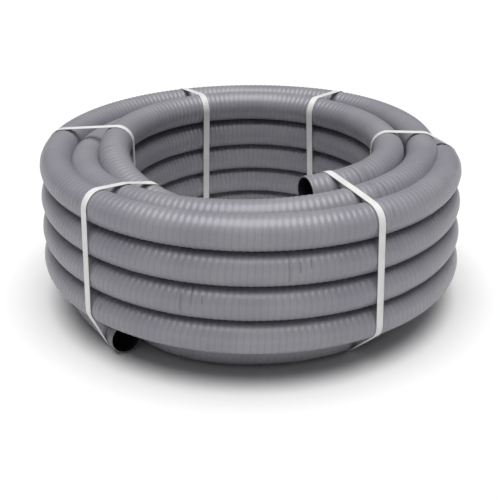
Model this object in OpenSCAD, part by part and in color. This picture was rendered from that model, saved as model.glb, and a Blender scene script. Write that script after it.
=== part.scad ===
// Sewer hose kit: one length of reinforced hose, wound into a coil of three layers and
// held by flat plastic straps. Both of its cut ends are open.
// The origin is under the centre of the coil, on the surface it stands on. +Z is up.
// The hose's coiled stretches are plain solids of their outer shape, layer by layer.

/* [Hose] */
// Outside diameter of the hose over its ribs
hose_d = 55; // [53:1:58]
// Bore of the hose
bore_d = 50; // [38:1:50]
// Length of the straight stretch at each cut end
end_len = 45; // [35:1:48]

/* [Coil] */
// Radius of the inner layer, to the middle of the hose
inner_r = 236; // [226:1:250]
// How much smaller the loose turn on top is than the inner layer
top_turn_inset = 7; // [6:1:12]
// How far the loose turn on top sits towards the back
top_turn_shift = 8; // [7:1:9]
// Number of rows in the outer layer
outer_rows = 4; // [3:1:4]
// Direction of the top end's mouth round the coil, in degrees
top_mouth_angle = 294; // [290:1:296]
// Where the top turn comes down into the layer below, in degrees
top_turn_stop = 560; // [545:1:565]
// Where the lowest turn of the outer layer reaches the floor, in degrees
tail_start = 55; // [50:1:56]
// Direction of the bottom end's mouth round the coil, in degrees
bottom_mouth_angle = 233; // [232:1:236]

/* [Straps] */
// Width of a strap
strap_w = 12; // [9:1:16]
// Thickness of a strap
strap_t = 0.8; // [0.6:0.1:1.2]
// Slack between a strap and the hose
strap_gap = 0.2; // [0.1:0.1:0.4]

/* [Hidden] */

// Directions of the straps round the coil, counterclockwise from +X
right_strap_angle = 1;
back_right_strap_angle = 58;
back_left_strap_angle = 113.5;
left_strap_angle = 173;
front_left_strap_angle = 226.5;
front_right_strap_angle = 301.5;

hose_r = hose_d / 2;
// The coil lies on the straps that pass under it
lift = strap_t + strap_gap;
// Layers lie in the valleys of each other, or side by side
nested_step = 0.905 * hose_d;
beside_step = 1.006 * hose_d;
middle_r = inner_r + nested_step;
outer_r = middle_r + beside_step;
// Rows of the two inner layers sink into each other a little, those of the outer less
soft_pitch = 0.96 * hose_d;
outer_pitch = 0.99 * hose_d;
inner_rows = 4;
middle_rows = 5;
floor_row_z = lift + hose_r;
inner_bottom_z = floor_row_z + soft_pitch / 2;
outer_bottom_z = floor_row_z + 1.09 * hose_d;
top_turn_r = inner_r - top_turn_inset;
top_turn_z = inner_bottom_z + (inner_rows - 1) * soft_pitch + 1.01 * hose_d;

// How far round the coil an end's straight stretch goes, in degrees
top_end_sweep = atan(end_len / top_turn_r);
bottom_end_sweep = atan(end_len / outer_r);
top_cut_angle = top_mouth_angle + top_end_sweep;
bottom_cut_angle = bottom_mouth_angle - bottom_end_sweep;

hose_colour = [0.47, 0.47, 0.50];
strap_colour = [0.95, 0.95, 0.94];
round_fn = 96;
ring_fn = 180;
strap_fn = 32;

// Heights of the rows of each layer, from the bottom up
function row_heights(bottom, pitch, rows) = [for (k = [0 : rows - 1]) bottom + k * pitch];
inner_heights = row_heights(inner_bottom_z, soft_pitch, inner_rows);
middle_heights = row_heights(floor_row_z, soft_pitch, middle_rows);
outer_heights = row_heights(outer_bottom_z, outer_pitch, outer_rows);

// One layer: hoses stacked in a ring, with the seam between neighbours closed
module layer(radius, heights) {
    last = len(heights) - 1;
    seam_w = hose_d / 4;
    rotate_extrude($fn = ring_fn)
        union() {
            for (z = heights)
                translate([radius, z]) circle(r = hose_r, $fn = round_fn);
            translate([radius - seam_w / 2, heights[0]])
                square([seam_w, heights[last] - heights[0]]);
        }
}

// One stretch of hose round the coil, from one direction to another
module arc_of_hose(radius, z, from_angle, to_angle) {
    rotate([0, 0, from_angle])
        rotate_extrude(angle = to_angle - from_angle, $fn = ring_fn)
            translate([radius, z]) circle(r = hose_r, $fn = round_fn);
}

// A straight cut end with its true bore. side is 1 to leave counterclockwise, -1 clockwise
module open_end(radius, z, cut_angle, side) {
    rotate([0, 0, cut_angle])
        translate([radius, 0, z])
            rotate([-90 * side, 0, 0])
                difference() {
                    cylinder(h = end_len, r = hose_r, $fn = round_fn);
                    translate([0, 0, -1])
                        cylinder(h = end_len + 2, d = bore_d, $fn = round_fn);
                }
}

// True where a direction lies within an arc, both in degrees
function in_arc(angle, from_angle, to_angle) =
    (angle >= from_angle && angle <= to_angle)
    || (angle + 360 >= from_angle && angle + 360 <= to_angle);

// How far from the axis the loose turn on top is in a direction, its straight end included
function top_turn_reach(angle) =
    in_arc(angle, top_mouth_angle, top_cut_angle)
    ? (top_turn_r + top_turn_shift * sin(top_cut_angle)) / cos(top_cut_angle - angle)
    : top_turn_shift * sin(angle) + sqrt(pow(top_turn_r, 2) - pow(top_turn_shift * cos(angle), 2));

// How far from the axis the lowest turn is in a direction, its straight end included
function lowest_turn_reach(angle) =
    in_arc(angle, bottom_cut_angle, bottom_mouth_angle)
    ? outer_r / cos(angle - bottom_cut_angle)
    : outer_r;

// Directions of a strap's middle and two edges, as turns from its own direction
function edge_turns(radius) = [for (side = [-1 : 1]) side * asin(strap_w / 2 / radius)];

// Middles of the hoses that a strap at this direction goes round, as [radius, height]
function bundle(angle) = concat(
    [for (z = inner_heights) [inner_r, z]],
    [for (z = middle_heights) [middle_r, z]],
    [for (z = outer_heights) [outer_r, z]],
    in_arc(angle, top_mouth_angle, top_turn_stop)
    ? [for (turn = edge_turns(top_turn_r)) [top_turn_reach(angle + turn) * cos(turn), top_turn_z]]
    : [],
    in_arc(angle, tail_start, bottom_mouth_angle)
    ? [for (turn = edge_turns(outer_r)) [lowest_turn_reach(angle + turn) * cos(turn), floor_row_z]]
    : []);

// Outline that a taut band takes round the hoses, at a distance from them
module taut_outline(angle, distance) {
    hull()
        for (place = bundle(angle))
            translate(place) circle(r = hose_r + distance, $fn = strap_fn);
}

// One strap: a flat band drawn tight round every layer of the coil
module strap(angle) {
    color(strap_colour)
        rotate([0, 0, angle])
            rotate([90, 0, 0])
                translate([0, 0, -strap_w / 2])
                    linear_extrude(height = strap_w)
                        difference() {
                            taut_outline(angle, strap_gap + strap_t);
                            taut_outline(angle, strap_gap);
                        }
}

module hose_inner_layer() { color(hose_colour) layer(inner_r, inner_heights); }
module hose_middle_layer() { color(hose_colour) layer(middle_r, middle_heights); }
module hose_outer_layer() { color(hose_colour) layer(outer_r, outer_heights); }
module hose_top_turn() {
    color(hose_colour)
        translate([0, top_turn_shift, 0])
            arc_of_hose(top_turn_r, top_turn_z, top_cut_angle, top_turn_stop);
}
module hose_lowest_turn() {
    color(hose_colour) arc_of_hose(outer_r, floor_row_z, tail_start, bottom_cut_angle);
}
module hose_top_end() {
    color(hose_colour)
        translate([0, top_turn_shift, 0])
            open_end(top_turn_r, top_turn_z, top_cut_angle, -1);
}
module hose_bottom_end() {
    color(hose_colour) open_end(outer_r, floor_row_z, bottom_cut_angle, 1);
}
module strap_right() { strap(right_strap_angle); }
module strap_back_right() { strap(back_right_strap_angle); }
module strap_back_left() { strap(back_left_strap_angle); }
module strap_left() { strap(left_strap_angle); }
module strap_front_left() { strap(front_left_strap_angle); }
module strap_front_right() { strap(front_right_strap_angle); }

hose_inner_layer();
hose_middle_layer();
hose_outer_layer();
hose_top_turn();
hose_lowest_turn();
hose_top_end();
hose_bottom_end();
strap_right();
strap_back_right();
strap_back_left();
strap_left();
strap_front_left();
strap_front_right();
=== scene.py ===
"""Sewer hose kit: one long length of ribbed waste hose, coiled and strapped for stock.

The hose is a single helical surface carried along the coil's own line: it starts at the open
end on top of the inner layer, goes down the inner layer, up the middle one and down the outer
one, and comes out at the open end on the floor. Flat plastic straps are drawn tight round it.
Lengths are in metres unless a name says that they are in hose diameters.
"""

import logging
import math
from dataclasses import dataclass
from enum import Enum
from typing import Callable

import bpy
import numpy as np
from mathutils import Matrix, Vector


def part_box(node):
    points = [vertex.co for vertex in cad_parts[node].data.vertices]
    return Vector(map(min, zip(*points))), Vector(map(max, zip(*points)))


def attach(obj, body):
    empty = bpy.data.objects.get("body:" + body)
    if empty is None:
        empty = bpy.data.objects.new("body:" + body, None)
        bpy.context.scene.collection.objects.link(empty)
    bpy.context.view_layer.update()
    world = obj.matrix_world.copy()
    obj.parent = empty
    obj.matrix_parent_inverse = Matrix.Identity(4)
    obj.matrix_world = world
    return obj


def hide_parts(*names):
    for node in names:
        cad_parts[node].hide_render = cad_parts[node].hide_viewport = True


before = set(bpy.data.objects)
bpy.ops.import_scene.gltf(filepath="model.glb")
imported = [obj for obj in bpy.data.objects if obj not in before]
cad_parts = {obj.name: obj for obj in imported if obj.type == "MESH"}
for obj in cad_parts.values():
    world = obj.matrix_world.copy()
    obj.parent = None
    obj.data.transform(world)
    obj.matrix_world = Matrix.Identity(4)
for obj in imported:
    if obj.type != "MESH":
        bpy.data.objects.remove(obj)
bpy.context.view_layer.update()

BODY = "root"
QUARTER = math.pi / 2
Corner = Callable[[np.ndarray, np.ndarray], np.ndarray]

log = logging.getLogger("sewer_hose")


def smooth_step(x: np.ndarray) -> np.ndarray:
    """Rises from 0 to 1 as x does, level at both ends: 3 x squared less 2 x cubed."""
    x = np.clip(x, 0.0, 1.0)
    return x * x * (3.0 - 2.0 * x)


def cad_size(node: str) -> np.ndarray:
    """Width, depth and height of a CAD node."""
    low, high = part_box(node)
    return np.array(high) - np.array(low)


class MeshParts:
    """Gathers vertices and faces of any number of corners, and makes one mesh of them."""

    def __init__(self) -> None:
        """Starts with no vertices and no faces."""
        self.points: list[np.ndarray] = []
        self.count = 0
        self.corners: list[np.ndarray] = []
        self.sides: list[np.ndarray] = []
        self.uvs: list[np.ndarray] = []
        self.finish: list[np.ndarray] = []

    def add_points(self, points: np.ndarray) -> np.ndarray:
        """Adds vertices to the mesh.

        Args:
            points: positions, with x, y and z along the last axis.

        Returns:
            The vertices' numbers, in the shape of the grid that was given.
        """
        grid = np.arange(points[..., 0].size).reshape(points.shape[:-1]) + self.count
        self.points.append(points.reshape(-1, 3))
        self.count += grid.size
        return grid

    def add_faces(self, faces: np.ndarray, uvs: np.ndarray, finish: int = 0) -> None:
        """Adds faces that all have the same number of corners.

        Args:
            faces: vertex numbers, one face to a row.
            uvs: the corners' places on the surface, in the same order.
            finish: which of the piece's materials the faces take.
        """
        self.corners.append(faces.reshape(-1))
        self.sides.append(np.full(len(faces), faces.shape[1]))
        self.uvs.append(uvs.reshape(-1, 2))
        self.finish.append(np.full(len(faces), finish))

    def to_object(self, name: str, sharp_angle: float) -> bpy.types.Object:
        """Makes the piece.

        Args:
            name: the piece's name.
            sharp_angle: edges that turn by more than this are drawn sharp, in radians.

        Returns:
            The new object, linked to the scene and riding on the part's body.
        """
        points = np.concatenate(self.points)
        corners = np.concatenate(self.corners)
        sides = np.concatenate(self.sides)
        starts = np.concatenate(([0], np.cumsum(sides)[:-1]))
        mesh = bpy.data.meshes.new(name)
        mesh.vertices.add(len(points))
        mesh.vertices.foreach_set("co", points.astype(np.float32).ravel())
        mesh.loops.add(len(corners))
        mesh.loops.foreach_set("vertex_index", corners.astype(np.int32))
        mesh.polygons.add(len(sides))
        mesh.polygons.foreach_set("loop_start", starts.astype(np.int32))
        mesh.polygons.foreach_set("material_index", np.concatenate(self.finish).astype(np.int32))
        layer = mesh.uv_layers.new(name="surface")
        layer.uv.foreach_set("vector", np.concatenate(self.uvs).astype(np.float32).ravel())
        mesh.update(calc_edges=True)
        mesh.validate()
        mesh.shade_smooth()
        mesh.set_sharp_from_angle(angle=sharp_angle)
        piece = bpy.data.objects.new(name, mesh)
        bpy.context.scene.collection.objects.link(piece)
        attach(piece, BODY)
        return piece


@dataclass(frozen=True)
class CoilPlan:
    """How the hose runs round the coil.

    A place along the hose is counted in quarter turns from the front of the coil, so that
    4 is one turn further on, and the hose goes round counterclockwise. Heights and radii are
    to the middle of the hose, in hose diameters, with 0.5 where the hose lies on its bed.
    """

    diameter: float
    bed: float
    start: float = 0.236
    finish: float = 55.575
    top_straight: float = 0.27
    bottom_straight: float = 55.37
    top: float = 4.80
    top_turn: tuple[tuple[float, float], ...] = (
        (0.25, 4.72), (1, 4.68), (1.5, 4.73), (2, 4.80), (3, 4.78), (3.5, 4.22))
    inner_rows: int = 4
    middle_rows: int = 4
    outer_rows: int = 4
    inner_radius: float = 4.33
    middle_radius: float = 5.24
    outer_radius: float = 6.075
    lean: float = 0.09
    spread: float = 0.05
    easing: float = 0.3

    def height_table(self) -> np.ndarray:
        """Heights of the hose at chosen places, from its top end to its bottom end.

        The inner layer's rows step down at the front left. The middle layer climbs mostly at
        the back right and the outer layer drops mostly there, so that the rows of
        neighbouring layers lie in each other's valleys.

        Returns:
            An array of (quarter turns, height in diameters).
        """
        places = list(self.top_turn)
        for k in range(self.inner_rows):
            q = 4 + 4 * k
            places += [(q, 3.72 - k), (q + 1, 3.70 - k), (q + 2, 3.80 - 0.94 * k),
                       (q + 3, 3.68 - k)]
            if k < self.inner_rows - 1:
                places.append((q + 3.5, 3.1 - k))
        places += [(19.6, 0.5), (20.5, 0.5), (21, 0.58)]
        for k in range(self.middle_rows):
            q = 22 + 4 * k
            places += [(q, 1.19 + k), (q + 1, 1.38 + k), (q + 2, 1.56 + k), (q + 3, 1.66 + k)]
        for k in range(self.outer_rows):
            q = 38 + 4 * k
            places += [(q, 4.55 - k), (q + 1, 4.63 - k), (q + 2, 4.52 - k), (q + 2.95, 4.40 - k),
                       (q + 3.4, 3.66 - k)]
        places += [(54, 0.5), (self.finish, 0.5)]
        return np.array(places)

    def layer_table(self) -> np.ndarray:
        """Which layer the hose is in at chosen places: 0 inner, 1 middle and 2 outer.

        Returns:
            An array of (quarter turns, layer).
        """
        return np.array([(self.start, 0.0), (19.2, 0.0), (19.7, 1.0), (36.5, 1.0), (37.0, 1.15),
                         (37.6, 1.9), (38.0, 2.0), (self.finish, 2.0)])

    def eased(self, q: np.ndarray, table: np.ndarray) -> np.ndarray:
        """Reads a table between its places, eased by a moving average that fades outwards.

        Args:
            q: quarter turns along the hose.
            table: rows of (quarter turns, value).

        Returns:
            The values at those places.
        """
        offsets = np.linspace(-1.0, 1.0, 21)
        weights = 1.0 + np.cos(math.pi * offsets)
        weights /= weights.sum()
        near = q[..., None] + self.easing * offsets
        near = np.clip(near, table[0, 0], table[-1, 0])
        return (np.interp(near, table[:, 0], table[:, 1]) * weights).sum(-1)

    def height(self, q: np.ndarray) -> np.ndarray:
        """Height in diameters at each place."""
        return self.eased(q, self.height_table())

    def radius(self, q: np.ndarray) -> np.ndarray:
        """Radius in diameters at each place.

        Each layer has its own radius, a little wider at the back. The lower a row lies, the
        further out it has spread. Both ends run straight on, along the tangent of the coil,
        so there the radius is that at the start of the straight over the cosine of the way
        round since.

        Args:
            q: quarter turns along the hose.

        Returns:
            The radii, in diameters.
        """
        curved = np.clip(q, self.top_straight, self.bottom_straight)
        turn = curved * QUARTER - QUARTER
        back, right = np.sin(turn), np.cos(turn)
        inner = self.inner_radius + 0.07 * back + 0.02 * right
        inner -= 0.08 * smooth_step((1.0 - curved) / 0.8)
        middle = self.middle_radius + 0.035 * back + 0.025 * right
        outer = self.outer_radius + 0.03 * np.maximum(back, 0.0)
        outer -= 0.70 * smooth_step((curved - 54.2) / 1.15)
        layer = self.eased(curved, self.layer_table())
        base = inner + (middle - inner) * np.clip(layer, 0.0, 1.0)
        base += (outer - middle) * np.clip(layer - 1.0, 0.0, 1.0)
        depth = self.top - self.height(curved)
        behind = np.maximum(back, 0.0)
        spread = self.spread * np.clip(layer - 1.0, 0.0, 1.0) * (1.0 - behind)
        base += depth * (self.lean * behind + spread)
        return base / np.cos((q - curved) * QUARTER)

    def points(self, q: np.ndarray) -> np.ndarray:
        """Points on the middle line of the hose.

        Args:
            q: quarter turns along the hose.

        Returns:
            Positions in metres, with x, y and z along the last axis.
        """
        turn = q * QUARTER - QUARTER
        r = self.radius(q) * self.diameter
        z = self.height(q) * self.diameter + self.bed
        return np.stack([r * np.cos(turn), r * np.sin(turn), z], -1)

    def length_table(self) -> tuple[np.ndarray, np.ndarray]:
        """Measures the line in small steps.

        Returns:
            Quarter turns, and the length of hose up to each.
        """
        q = np.linspace(self.start, self.finish, 16001)
        steps = np.linalg.norm(np.diff(self.points(q), axis=0), axis=1)
        return q, np.concatenate(([0.0], np.cumsum(steps)))

    def crossings(self, azimuth: float, sideways: float) -> np.ndarray:
        """Where the hose passes through an upright plane beside a strap's own plane.

        Args:
            azimuth: the strap's direction round the coil, in radians from +X.
            sideways: how far the plane lies to the counterclockwise side of the strap.

        Returns:
            Rows of (distance out from the axis along the strap, height), in metres.
        """
        first = azimuth / QUARTER + 1.0
        q = np.arange(math.ceil((self.start - first) / 4), 20) * 4 + first
        q = q[(q >= self.start) & (q <= self.finish)]
        for _ in range(3):
            r = self.radius(q) * self.diameter
            q = np.clip(first + 4 * np.round((q - first) / 4) + np.arcsin(sideways / r) / QUARTER,
                        self.start, self.finish)
        place = self.points(q)
        out = place[:, 0] * math.cos(azimuth) + place[:, 1] * math.sin(azimuth)
        return np.stack([out, place[:, 2]], -1)


class Nodes:
    """Short ways of adding and joining shader nodes in one material."""

    def __init__(self, name: str) -> None:
        """Starts a material that holds only a principled shader and its output."""
        self.material = bpy.data.materials.new(name)
        self.material.use_nodes = True
        self.tree = self.material.node_tree
        self.shader = self.tree.nodes["Principled BSDF"]

    def add(self, kind: str, **settings: object) -> bpy.types.Node:
        """Adds a node.

        Args:
            kind: Blender's name for the type of node.
            settings: the node's own properties.

        Returns:
            The node.
        """
        node = self.tree.nodes.new(kind)
        for key, value in settings.items():
            setattr(node, key, value)
        return node

    def join(self, source: bpy.types.NodeSocket, target: bpy.types.NodeSocket) -> None:
        """Links an output to an input."""
        self.tree.links.new(source, target)

    def math(self, operation: str, a: object, b: object = 0.0) -> bpy.types.NodeSocket:
        """Works out one sum.

        Args:
            operation: the sum's name in Blender.
            a: the first number or socket.
            b: the second number or socket.

        Returns:
            The socket that gives the result.
        """
        node = self.add("ShaderNodeMath", operation=operation)
        for socket, value in zip(node.inputs, (a, b)):
            if isinstance(value, bpy.types.NodeSocket):
                self.join(value, socket)
            else:
                socket.default_value = value
        return node.outputs[0]

    def noise(self, place: bpy.types.NodeSocket, scale: float, detail: float = 3.0,
              roughness: float = 0.55) -> bpy.types.NodeSocket:
        """Noise from 0 to 1 at a place.

        Args:
            place: the socket that gives the coordinates.
            scale: how many cells of noise there are to a unit.
            detail: octaves of finer noise.
            roughness: how strong the finer octaves are.

        Returns:
            The socket that gives the noise.
        """
        node = self.add("ShaderNodeTexNoise")
        node.inputs["Scale"].default_value = scale
        node.inputs["Detail"].default_value = detail
        node.inputs["Roughness"].default_value = roughness
        self.join(place, node.inputs["Vector"])
        return node.outputs["Fac"]

    def ramp(self, value: bpy.types.NodeSocket, low: float, high: float,
             to_low: float = 0.0, to_high: float = 1.0) -> bpy.types.NodeSocket:
        """Maps a value from one range to another, clamped at both ends.

        Args:
            value: the socket to map.
            low: the value that gives to_low.
            high: the value that gives to_high.
            to_low: the result at low.
            to_high: the result at high.

        Returns:
            The socket that gives the mapped value.
        """
        node = self.add("ShaderNodeMapRange", interpolation_type="SMOOTHSTEP")
        for socket, number in zip(node.inputs[1:5], (low, high, to_low, to_high)):
            socket.default_value = number
        self.join(value, node.inputs["Value"])
        return node.outputs["Result"]

    def blend(self, factor: bpy.types.NodeSocket, a: object, b: object) -> bpy.types.NodeSocket:
        """Mixes two colours.

        Args:
            factor: the socket that gives the share of the second colour.
            a: the first colour, or the socket that gives it.
            b: the second colour, or the socket that gives it.

        Returns:
            The socket that gives the mixed colour.
        """
        node = self.add("ShaderNodeMix", data_type="RGBA")
        self.join(factor, node.inputs[0])
        for socket, value in ((node.inputs[6], a), (node.inputs[7], b)):
            if isinstance(value, bpy.types.NodeSocket):
                self.join(value, socket)
            else:
                socket.default_value = (*value, 1.0)
        return node.outputs[2]

    def bump(self, height: bpy.types.NodeSocket, distance: float,
             strength: float = 1.0) -> None:
        """Raises the surface a little.

        Args:
            height: the socket that gives the height, from 0 to 1.
            distance: how many metres a height of 1 stands for.
            strength: how much of the relief is seen.
        """
        node = self.add("ShaderNodeBump")
        node.inputs["Distance"].default_value = distance
        node.inputs["Strength"].default_value = strength
        self.join(height, node.inputs["Height"])
        self.join(node.outputs["Normal"], self.shader.inputs["Normal"])


@dataclass(frozen=True)
class HoseVinyl:
    """Grey plasticised vinyl, with a hard spiral under a softer skin and marks along it."""

    rib_pitch: float
    colour: tuple[float, float, float] = (0.255, 0.250, 0.285)
    worn: tuple[float, float, float] = (0.300, 0.298, 0.325)
    # painted shade: a darker colour laid into the rib valleys, where shade falls between the ribs
    groove_shade: tuple[float, float, float] = (0.190, 0.187, 0.212)
    ink: tuple[float, float, float] = (0.030, 0.030, 0.034)
    mark_every: float = 1.0
    mark_offset: float = 0.0

    def material(self) -> bpy.types.Material:
        """Builds the finish on the surface's own map: metres along, and turns round it.

        The ribs are a cosine of the metres along over the pitch, less the turns round; the colour
        is painted darker in the rib valleys as shade.

        Returns:
            The material.
        """
        n = Nodes("hose_vinyl")
        split = n.add("ShaderNodeSeparateXYZ")
        n.join(n.add("ShaderNodeUVMap", uv_map="surface").outputs[0], split.inputs[0])
        along, around = split.outputs[0], split.outputs[1]
        place = n.add("ShaderNodeTexCoord").outputs["Object"]
        turns = n.math("SUBTRACT", n.math("DIVIDE", along, self.rib_pitch), around)
        wave = n.math("COSINE", n.math("MULTIPLY", turns, 2 * math.pi))
        # painted shade mask: 1 in the rib valleys, where the groove colour is mixed in
        groove_shade = n.ramp(wave, -0.35, -1.0)
        clouds = n.noise(place, 9.0, 4.0)
        grain = n.noise(place, 900.0, 2.0)
        scuffs = n.ramp(n.noise(place, 46.0, 6.0, 0.7), 0.56, 0.72)
        base = n.blend(n.ramp(clouds, 0.3, 0.7), self.colour, self.worn)
        base = n.blend(n.math("MULTIPLY", scuffs, 0.35), base, self.worn)
        # painted shade: darkens the rib valleys three tenths of the way to the groove colour
        base = n.blend(n.math("MULTIPLY", groove_shade, 0.3), base, self.groove_shade)
        base = n.blend(self.print_marks(n, along, around, grain), base, self.ink)
        n.join(base, n.shader.inputs["Base Color"])
        rough = n.math("ADD", n.math("MULTIPLY", clouds, 0.10), 0.30)
        n.join(n.math("ADD", rough, n.math("MULTIPLY", scuffs, 0.1)), n.shader.inputs["Roughness"])
        n.shader.inputs["Specular IOR Level"].default_value = 0.5
        relief = n.math("ADD", n.math("MULTIPLY", n.math("ADD", wave, 1.0), 0.5),
                        n.math("MULTIPLY", grain, 0.12))
        n.bump(relief, 0.0008, 0.7)
        return n.material

    def print_marks(self, n: Nodes, along: bpy.types.NodeSocket, around: bpy.types.NodeSocket,
                    grain: bpy.types.NodeSocket) -> bpy.types.NodeSocket:
        """Plain ticks that the maker prints across the hose at every metre, as for measuring.

        Args:
            n: the material's nodes.
            along: metres along the hose.
            around: turns round the hose.
            grain: fine noise that breaks up the ink.

        Returns:
            The socket that gives the share of ink.
        """
        shifted = n.math("ADD", along, self.mark_offset)
        step = n.math("MULTIPLY", n.math("FRACT", n.math("DIVIDE", shifted, self.mark_every)),
                      self.mark_every)
        total = None
        for centre, half, low, high in ((0.004, 0.0011, 0.93, 1.27), (0.019, 0.0009, 1.02, 1.2),
                                        (0.034, 0.0007, 1.05, 1.12)):
            off = n.math("ABSOLUTE", n.math("SUBTRACT", step, centre))
            line = n.ramp(off, half + 0.0006, half)
            wrapped = n.math("ADD", n.math("FRACT", n.math("ADD", around, 0.5)), 0.5)
            middle, reach = (low + high) / 2, (high - low) / 2
            side = n.math("ABSOLUTE", n.math("SUBTRACT", wrapped, middle))
            tick = n.math("MULTIPLY", line, n.ramp(side, reach + 0.01, reach))
            total = tick if total is None else n.math("MAXIMUM", total, tick)
        return n.math("MULTIPLY", n.math("MULTIPLY", total, n.ramp(grain, 0.3, 0.5)), 0.35)


@dataclass(frozen=True)
class PaintedBoreShade:
    """Painted shade inside the bore: the vinyl there is coloured near black to stand for the dark
    of the hollow.
    """

    # painted shade: near-black colours for the dark inside the bore, mixed by noise
    colour: tuple[float, float, float] = (0.020, 0.020, 0.023)
    edge: tuple[float, float, float] = (0.034, 0.034, 0.038)

    def material(self) -> bpy.types.Material:
        """Builds the painted shade, with a faint cloudiness.

        Returns:
            The material.
        """
        n = Nodes("hose_bore_shade")
        place = n.add("ShaderNodeTexCoord").outputs["Object"]
        clouds = n.noise(place, 60.0, 4.0)
        n.join(n.blend(clouds, self.colour, self.edge), n.shader.inputs["Base Color"])
        n.join(n.ramp(clouds, 0.3, 0.7, 0.55, 0.7), n.shader.inputs["Roughness"])
        n.shader.inputs["Specular IOR Level"].default_value = 0.3
        n.bump(clouds, 0.0003, 0.5)
        return n.material


@dataclass(frozen=True)
class StrapPlastic:
    """White polypropylene packing strap, rolled with a fine diamond pattern."""

    colour: tuple[float, float, float] = (0.83, 0.83, 0.82)
    shade: tuple[float, float, float] = (0.70, 0.70, 0.70)
    diamond: float = 0.0022

    def material(self) -> bpy.types.Material:
        """Builds the finish on the strap's own map: metres along and metres across.

        The diamonds are the product of two sines' sizes, of along plus and less across.

        Returns:
            The material.
        """
        n = Nodes("strap_plastic")
        split = n.add("ShaderNodeSeparateXYZ")
        n.join(n.add("ShaderNodeUVMap", uv_map="surface").outputs[0], split.inputs[0])
        along, across = split.outputs[0], split.outputs[1]
        waves = []
        for sign in ("ADD", "SUBTRACT"):
            angle = n.math("MULTIPLY", n.math(sign, along, across), 2 * math.pi / self.diamond)
            waves.append(n.math("ABSOLUTE", n.math("SINE", angle)))
        pattern = n.math("MULTIPLY", waves[0], waves[1])
        place = n.add("ShaderNodeTexCoord").outputs["Object"]
        clouds = n.noise(place, 30.0, 4.0)
        base = n.blend(n.ramp(clouds, 0.35, 0.75), self.colour, self.shade)
        base = n.blend(n.math("MULTIPLY", pattern, 0.25), base, self.shade)
        n.join(base, n.shader.inputs["Base Color"])
        n.join(n.ramp(pattern, 0.0, 1.0, 0.34, 0.46), n.shader.inputs["Roughness"])
        n.bump(pattern, 0.00015, 0.6)
        return n.material


@dataclass(frozen=True)
class FloorPaint:
    """Pale matt studio floor."""

    colour: tuple[float, float, float] = (0.86, 0.86, 0.86)

    def material(self) -> bpy.types.Material:
        """Builds the finish.

        Returns:
            The material.
        """
        n = Nodes("studio_floor")
        place = n.add("ShaderNodeTexCoord").outputs["Object"]
        light = tuple(min(1.0, c * 1.01) for c in self.colour)
        n.join(n.blend(n.noise(place, 2.0), self.colour, light), n.shader.inputs["Base Color"])
        n.shader.inputs["Roughness"].default_value = 0.9
        n.shader.inputs["Specular IOR Level"].default_value = 0.1
        return n.material


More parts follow.
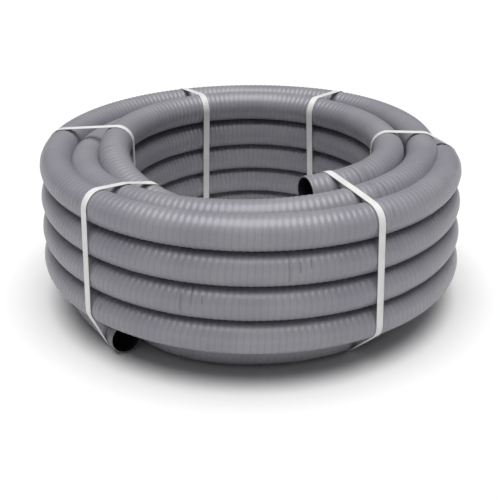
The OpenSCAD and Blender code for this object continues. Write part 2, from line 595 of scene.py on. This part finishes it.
@dataclass
class Hose:
    """The whole length of hose, as one tube with a spiral rib and two open cut ends."""

    plan: CoilPlan
    bore: float
    rib_pitch: float = 0.0098
    rib_height: float = 0.0008
    sides: int = 19
    end_margin: float = 0.0025
    rim: float = 0.0004
    bore_shown: float = 0.42
    bore_rings: int = 36
    mark_place: float = 40.333
    tangent_step: float = 0.004

    def __post_init__(self) -> None:
        """Measures the line, and fits a whole number of half pitches to it."""
        self.quarters, self.lengths = self.plan.length_table()
        self.length = float(self.lengths[-1])
        clear = self.length - 2 * self.end_margin
        self.rows = int(round(clear / (self.rib_pitch / 2)))
        self.row_step = clear / self.rows

    def frame_at(self, s: np.ndarray) -> tuple[np.ndarray, np.ndarray, np.ndarray]:
        """The line's point and its outward and upward directions at a length along it.

        The tangent is a central difference along the line. Outward is the tangent crossed
        with up, and upward is outward crossed with the tangent.

        Args:
            s: lengths along the hose.

        Returns:
            Points, outward directions and upward directions, each like s with x, y, z.
        """
        q = np.interp(s, self.lengths, self.quarters)
        ahead = self.plan.points(np.minimum(q + self.tangent_step, self.plan.finish))
        behind = self.plan.points(np.maximum(q - self.tangent_step, self.plan.start))
        tangent = ahead - behind
        tangent /= np.linalg.norm(tangent, axis=-1, keepdims=True)
        outward = np.cross(tangent, np.array([0.0, 0.0, 1.0]))
        outward /= np.linalg.norm(outward, axis=-1, keepdims=True)
        upward = np.cross(outward, tangent)
        return self.plan.points(q), outward, upward

    def surface(self, s: np.ndarray, turn: np.ndarray, radius: np.ndarray) -> np.ndarray:
        """Points on a tube round the line.

        Each is the line's point plus the radius times (cosine of the turn outward plus its
        sine upward).

        Args:
            s: lengths along the hose.
            turn: how far round the hose, in turns from the outward side.
            radius: distance from the line.

        Returns:
            Positions, with x, y and z along the last axis.
        """
        middle, outward, upward = self.frame_at(s)
        angle = 2 * math.pi * turn
        reach_out = (radius * np.cos(angle))[..., None]
        reach_up = (radius * np.sin(angle))[..., None]
        return middle + reach_out * outward + reach_up * upward

    def build(self) -> bpy.types.Object:
        """Makes the hose.

        The rows of vertices follow the spiral: vertex j of row i lies at (i + 2 j / sides)
        half pitches, so a full turn leads two rows on, even rows are the rib's crest and odd
        rows its valley.

        Returns:
            The piece.
        """
        parts = MeshParts()
        n, last = self.sides, self.rows - 2
        crest = self.plan.diameter / 2
        i, j = np.meshgrid(np.arange(last + 1), np.arange(n), indexing="ij")
        extra_i, extra_j = np.array([last + 1, last + 2]), np.zeros(2, int)
        row = np.concatenate([i.ravel(), extra_i])
        column = np.concatenate([j.ravel(), extra_j])
        s = self.end_margin + (row + 2 * column / n) * self.row_step
        radius = crest - self.rib_height * (row % 2)
        parts.add_points(self.surface(s, column / n, radius))

        def number(a: np.ndarray, b: np.ndarray) -> np.ndarray:
            """Vertex number of row a and column b, where column n is two rows on."""
            a, b = np.where(b == n, a + 2, a), np.where(b == n, 0, b)
            return np.where(a <= last, a * n + b, (last + 1) * n + a - last - 1)

        def place(a: np.ndarray, b: np.ndarray) -> np.ndarray:
            """Metres along and turns round for row a and column b."""
            return np.stack([self.end_margin + (a + 2 * b / n) * self.row_step, b / n], -1)

        a, b = np.meshgrid(np.arange(last), np.arange(n), indexing="ij")
        a, b = a.ravel(), b.ravel()
        rows = np.stack([a, a + 1, a + 1, a], -1)
        columns = np.stack([b, b, b + 1, b + 1], -1)
        parts.add_faces(number(rows, columns), place(rows, columns))
        self.close_end(parts, number, place, 0, last)
        self.close_end(parts, number, place, 1, last)
        return parts.to_object("hose", math.radians(32))

    def close_end(self, parts: MeshParts, number: Corner, place: Corner, far: int,
                  last: int) -> None:
        """Adds one cut end: the wedge up to the cut, the rim and the bore behind it.

        Args:
            parts: the mesh being made.
            number: gives the vertex number of a row and a column.
            place: gives the surface's map for a row and a column.
            far: 0 for the end where the hose starts, 1 for the other.
            last: the last whole row.
        """
        n = self.sides
        wall = self.plan.diameter / 2 - self.rib_height / 2
        hole = self.bore / 2
        depths = np.concatenate([[self.rim, 0.0, 0.0], np.linspace(
            self.rim, self.bore_shown, self.bore_rings)])
        radii = np.concatenate([[wall, wall - self.rim, hole + self.rim],
                                np.full(self.bore_rings, hole)])
        s = self.length - depths if far else depths
        turn = np.arange(n) / n
        grid = parts.add_points(self.surface(
            np.broadcast_to(s[:, None], (len(s), n)), np.broadcast_to(turn, (len(s), n)),
            np.broadcast_to(radii[:, None], (len(s), n))))
        cap = parts.add_points(self.frame_at(s[-1:])[0])[0]
        ring = np.concatenate([grid, grid[:, :1]], axis=1)
        b = np.arange(n)
        edge_row = last if far else 0
        whole = b[1:] if far else b[:-1]
        rows = np.full((len(whole), 2), edge_row)
        columns = np.stack([whole + 1, whole], -1)
        cut = np.stack([ring[0, whole], ring[0, whole + 1]], -1)
        cut_map = np.stack([np.full((len(whole), 2), s[0]),
                            np.stack([whole, whole + 1], -1) / n], -1)
        faces = np.concatenate([number(rows, columns), cut], 1)
        maps = np.concatenate([place(rows, columns), cut_map], 1)
        self.face_out(parts, faces, maps, far, 0)
        if far:
            seam_rows = np.array([[last, last, last + 1, last + 2]])
            seam_columns = np.array([[1, 0, 0, 0]])
            rim_columns = np.array([0, 1])
        else:
            seam_rows = np.array([[0, 2, 1, 0]])
            seam_columns = np.array([[n - 1, 0, 0, 0]])
            rim_columns = np.array([n, n - 1])
        faces = np.concatenate([number(seam_rows, seam_columns), ring[None, 0, rim_columns]], 1)
        if not far:
            seam_map = np.stack([place(seam_rows, seam_columns)[..., 0],
                                 np.array([[(n - 1) / n, 1.0, 1.0, 1.0]])], -1)
        else:
            seam_map = place(seam_rows, seam_columns)
        rim_map = np.stack([np.full((1, 2), s[0]), rim_columns[None] / n], -1)
        self.face_out(parts, faces, np.concatenate([seam_map, rim_map], 1), far, 0, seam=True)
        for k in range(len(s) - 1):
            faces = np.stack([ring[k, :-1], ring[k, 1:], ring[k + 1, 1:], ring[k + 1, :-1]], -1)
            flat = np.stack([b, b + 1, b + 1, b], -1) / n
            deep = np.array([s[k], s[k], s[k + 1], s[k + 1]])
            maps = np.stack([np.broadcast_to(deep, flat.shape), flat], -1)
            # from the third ring on, the bore takes material 1, the painted bore shade
            self.face_out(parts, faces, maps, far, 1 if k >= 2 else 0, inside=True)
        fan = np.stack([ring[-1, :-1], ring[-1, 1:], np.full(n, cap)], -1)
        flat = np.stack([b, b + 1, b + 0.5], -1) / n
        self.face_out(parts, fan, np.stack([np.full(flat.shape, s[-1]), flat], -1), far, 1,
                      inside=True)

    @staticmethod
    def face_out(parts: MeshParts, faces: np.ndarray, maps: np.ndarray, far: int, finish: int,
                 inside: bool = False, seam: bool = False) -> None:
        """Adds faces of an end, turned so that they look out of the plastic.

        Args:
            parts: the mesh being made.
            faces: vertex numbers.
            maps: the corners' places on the surface.
            far: 0 for the end where the hose starts, 1 for the other.
            finish: which material the faces take.
            inside: whether they are the rim or the bore.
            seam: whether this is the one face that closes the spiral.
        """
        flip = far == 1 if inside else far == 0 and not seam
        step = -1 if flip else 1
        parts.add_faces(faces[:, ::step], maps[:, ::step], finish)

    def dress(self, piece: bpy.types.Object) -> None:
        """Gives the hose its vinyl outside, and painted shade inside the bore: a near-black colour
        for the dark of the hollow.

        Args:
            piece: the hose.
        """
        first = float(np.interp(self.mark_place, self.quarters, self.lengths))
        vinyl = HoseVinyl(rib_pitch=2 * self.row_step, mark_offset=self.end_margin - first)
        piece.data.materials.append(vinyl.material())
        piece.data.materials.append(PaintedBoreShade().material())

    def declare(self) -> None:
        """Hides the CAD hose parts that the tube stands for; it also takes points along the line,
        which are not used.
        """
        s = np.linspace(0.0, self.length, self.rows)
        line = self.frame_at(s)[0]
        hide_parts("hose_inner_layer", "hose_middle_layer", "hose_outer_layer",
                    "hose_top_turn", "hose_lowest_turn", "hose_top_end", "hose_bottom_end")


class WeldPlace(Enum):
    """Which side of the bundle a strap's welded overlap lies on."""

    INSIDE = "inside"
    OUTSIDE = "outside"


@dataclass
class Strap:
    """A flat band drawn tight round every turn of the coil, and welded to itself."""

    name: str
    plan: CoilPlan
    azimuth: float
    width: float
    weld: WeldPlace
    thickness: float = 0.0008
    gap: float = 0.0002
    weld_length: float = 0.034
    usual_length: float = 0.97
    crisp: float = 0.00015
    edge_rounding: float = 0.15
    samples: int = 340
    directions: int = 1441
    stations: int = 5
    length: float = 0.0

    def weld_middle(self) -> float:
        """Where the middle of the weld lies along the strap, from 0 to 1."""
        return {WeldPlace.INSIDE: 0.80, WeldPlace.OUTSIDE: 0.28}[self.weld]

    def outline(self, sideways: float) -> np.ndarray:
        """Taut outline round the hoses in one upright plane.

        In every direction the band touches the hose that reaches furthest that way, and it is
        straight between one such hose and the next.

        Args:
            sideways: how far the plane lies from the strap's middle.

        Returns:
            Rows of (out, up) in metres, evenly spaced, starting under the coil.
        """
        hoses = self.plan.crossings(self.azimuth, sideways)
        angle = np.linspace(-QUARTER, -QUARTER + 2 * math.pi, self.directions)
        normal = np.stack([np.cos(angle), np.sin(angle)], -1)
        furthest = hoses[(normal @ hoses.T).argmax(1)]
        line = furthest + (self.plan.diameter / 2 + self.gap) * normal
        steps = np.linalg.norm(np.diff(line, axis=0), axis=1)
        along = np.concatenate(([0.0], np.cumsum(steps)))
        self.length = float(along[-1])
        even = self.fractions() * along[-1]
        return np.stack([np.interp(even, along, line[:, k]) for k in range(2)], -1)

    def fractions(self) -> np.ndarray:
        """Places along the strap, with extra ones where the overlap ends.

        Returns:
            The places in order, from 0 to 1.
        """
        even = np.linspace(0.0, 1.0, self.samples, endpoint=False)
        ends = np.array([side * self.weld_length / 2 + nudge for side in (-1, 1)
                         for nudge in (-self.crisp, self.crisp)])
        return np.sort(np.concatenate([even, self.weld_middle() + ends / self.usual_length]))

    def build(self) -> bpy.types.Object:
        """Makes the strap as a closed band, its flat section carried round the outline.

        Returns:
            The piece.
        """
        parts = MeshParts()
        across = np.linspace(-0.5, 0.5, self.stations) * self.width
        lines = np.stack([self.outline(y) for y in across], 1)
        ahead, behind = np.roll(lines, -1, axis=0), np.roll(lines, 1, axis=0)
        tangent = ahead - behind
        tangent /= np.linalg.norm(tangent, axis=-1, keepdims=True)
        normal = np.stack([tangent[..., 1], -tangent[..., 0]], -1)
        share = self.fractions()
        from_weld = np.abs(share - self.weld_middle()) * self.usual_length
        doubled = from_weld < self.weld_length / 2
        skin = self.thickness * np.where(doubled, 2.0, 1.0)
        order = np.concatenate([np.arange(self.stations), np.arange(self.stations)[::-1]])
        outer = np.arange(2 * self.stations) < self.stations
        edge = (order == 0) | (order == self.stations - 1)
        rounding = self.edge_rounding * self.thickness
        height = np.where(outer[None], skin[:, None], 0.0)
        height = np.where(edge[None] & outer[None], height - rounding, height)
        flat = lines[:, order] + height[..., None] * normal[:, order]
        out = np.array([math.cos(self.azimuth), math.sin(self.azimuth), 0.0])
        side = np.array([-math.sin(self.azimuth), math.cos(self.azimuth), 0.0])
        points = (flat[..., :1] * out + across[order][None, :, None] * side
                  + flat[..., 1:] * np.array([0.0, 0.0, 1.0]))
        grid = parts.add_points(points)
        turn, rim = np.meshgrid(np.arange(grid.shape[0]), np.arange(grid.shape[1]),
                                indexing="ij")
        turn, rim = turn.ravel(), rim.ravel()
        next_turn, next_rim = (turn + 1) % grid.shape[0], (rim + 1) % grid.shape[1]
        faces = np.stack([grid[turn, rim], grid[next_turn, rim], grid[next_turn, next_rim],
                          grid[turn, next_rim]], -1)
        along = np.concatenate([share, [1.0]]) * self.length
        maps = np.stack([
            np.stack([along[turn], along[turn + 1], along[turn + 1], along[turn]], -1),
            np.stack([across[order[rim]], across[order[rim]], across[order[next_rim]],
                      across[order[next_rim]]], -1)], -1)
        parts.add_faces(faces[:, ::-1], maps[:, ::-1])
        return parts.to_object(self.name + "_band", math.radians(35))

    def dress(self, piece: bpy.types.Object, finish: bpy.types.Material) -> None:
        """Gives the strap its finish, and lets it stand for the plain CAD strap.

        Args:
            piece: the strap.
            finish: its material.
        """
        piece.data.materials.append(finish)
        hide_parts(self.name)


@dataclass
class Studio:
    """Camera, lights and floor."""

    plan: CoilPlan
    lens: float = 64.24
    pitch: float = 0.449
    roll: float = -0.005
    eye: tuple[float, float, float] = (-0.037, -27.0, 14.10)
    sensor: float = 36.0
    floor_reach: float = 9.0
    room_light: float = 0.12

    def camera(self) -> None:
        """Places the camera, in hose diameters from the coil's centre on its bed."""
        data = bpy.data.cameras.new("camera")
        data.lens = self.lens
        data.sensor_width = self.sensor
        view = bpy.data.objects.new("camera", data)
        d = self.plan.diameter
        view.location = (self.eye[0] * d, self.eye[1] * d, self.eye[2] * d + self.plan.bed)
        view.rotation_euler = (QUARTER - self.pitch, 0.0, 0.0)
        view.rotation_euler.rotate_axis("Z", self.roll)
        bpy.context.scene.collection.objects.link(view)
        bpy.context.scene.camera = view

    def overhead_light(self, power: float, softness: float, tilt: float) -> None:
        """Hangs one very wide, even light overhead, as from a large studio ceiling bank.

        Args:
            power: its strength in watts per square metre.
            softness: how wide it looks from the floor, in radians.
            tilt: how far it leans towards the viewer, in radians.
        """
        data = bpy.data.lights.new("overhead", "SUN")
        data.energy = power
        data.angle = softness
        lamp = bpy.data.objects.new("overhead", data)
        lamp.location = (0.0, 0.0, 3.0)
        lamp.rotation_euler = (tilt, 0.0, 0.0)
        bpy.context.scene.collection.objects.link(lamp)

    def build(self) -> None:
        """Sets out the floor, the light of the room and the lamps."""
        mesh = bpy.data.meshes.new("floor")
        reach = self.floor_reach
        corners = [(-reach, -reach, 0.0), (reach, -reach, 0.0), (reach, reach, 0.0),
                   (-reach, reach, 0.0)]
        mesh.from_pydata(corners, [], [(0, 1, 2, 3)])
        floor = bpy.data.objects.new("floor", mesh)
        bpy.context.scene.collection.objects.link(floor)
        floor.data.materials.append(FloorPaint().material())
        world = bpy.data.worlds.new("room")
        world.use_nodes = True
        sky = world.node_tree.nodes["Background"]
        sky.inputs[0].default_value = (1.0, 1.0, 1.0, 1.0)
        sky.inputs[1].default_value = self.room_light
        bpy.context.scene.world = world
        self.overhead_light(3.5, math.radians(55), math.radians(6))
        bpy.context.scene.view_settings.view_transform = "Standard"


STRAP_WIDTH = 0.012
BORE_SHARE = 50 / 55
STRAPS = (
    ("strap_right", 1.0, WeldPlace.INSIDE),
    ("strap_back_right", 58.0, WeldPlace.OUTSIDE),
    ("strap_back_left", 113.5, WeldPlace.OUTSIDE),
    ("strap_left", 173.0, WeldPlace.INSIDE),
    ("strap_front_left", 226.5, WeldPlace.INSIDE),
    ("strap_front_right", 301.5, WeldPlace.INSIDE),
)


def main() -> None:
    """Builds the studio's camera, the hose, the straps and then the studio's light."""
    logging.basicConfig(level=logging.INFO)
    diameter = float(cad_size("hose_top_end")[2])
    bed = float(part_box("hose_lowest_turn")[0][2])
    plan = CoilPlan(diameter=diameter, bed=bed)
    studio = Studio(plan)
    studio.camera()
    hose = Hose(plan, bore=diameter * BORE_SHARE)
    tube = hose.build()
    hose.dress(tube)
    log.info("hose: %.2f m long, %d rows", hose.length, hose.rows)
    white = StrapPlastic().material()
    for name, degrees, weld in STRAPS:
        strap = Strap(name, plan, math.radians(degrees), STRAP_WIDTH, weld)
        band = strap.build()
        strap.dress(band, white)
        log.info("%s: %.3f m round", name, strap.length)
    hose.declare()
    studio.build()


if __name__ == "__main__":
    main()
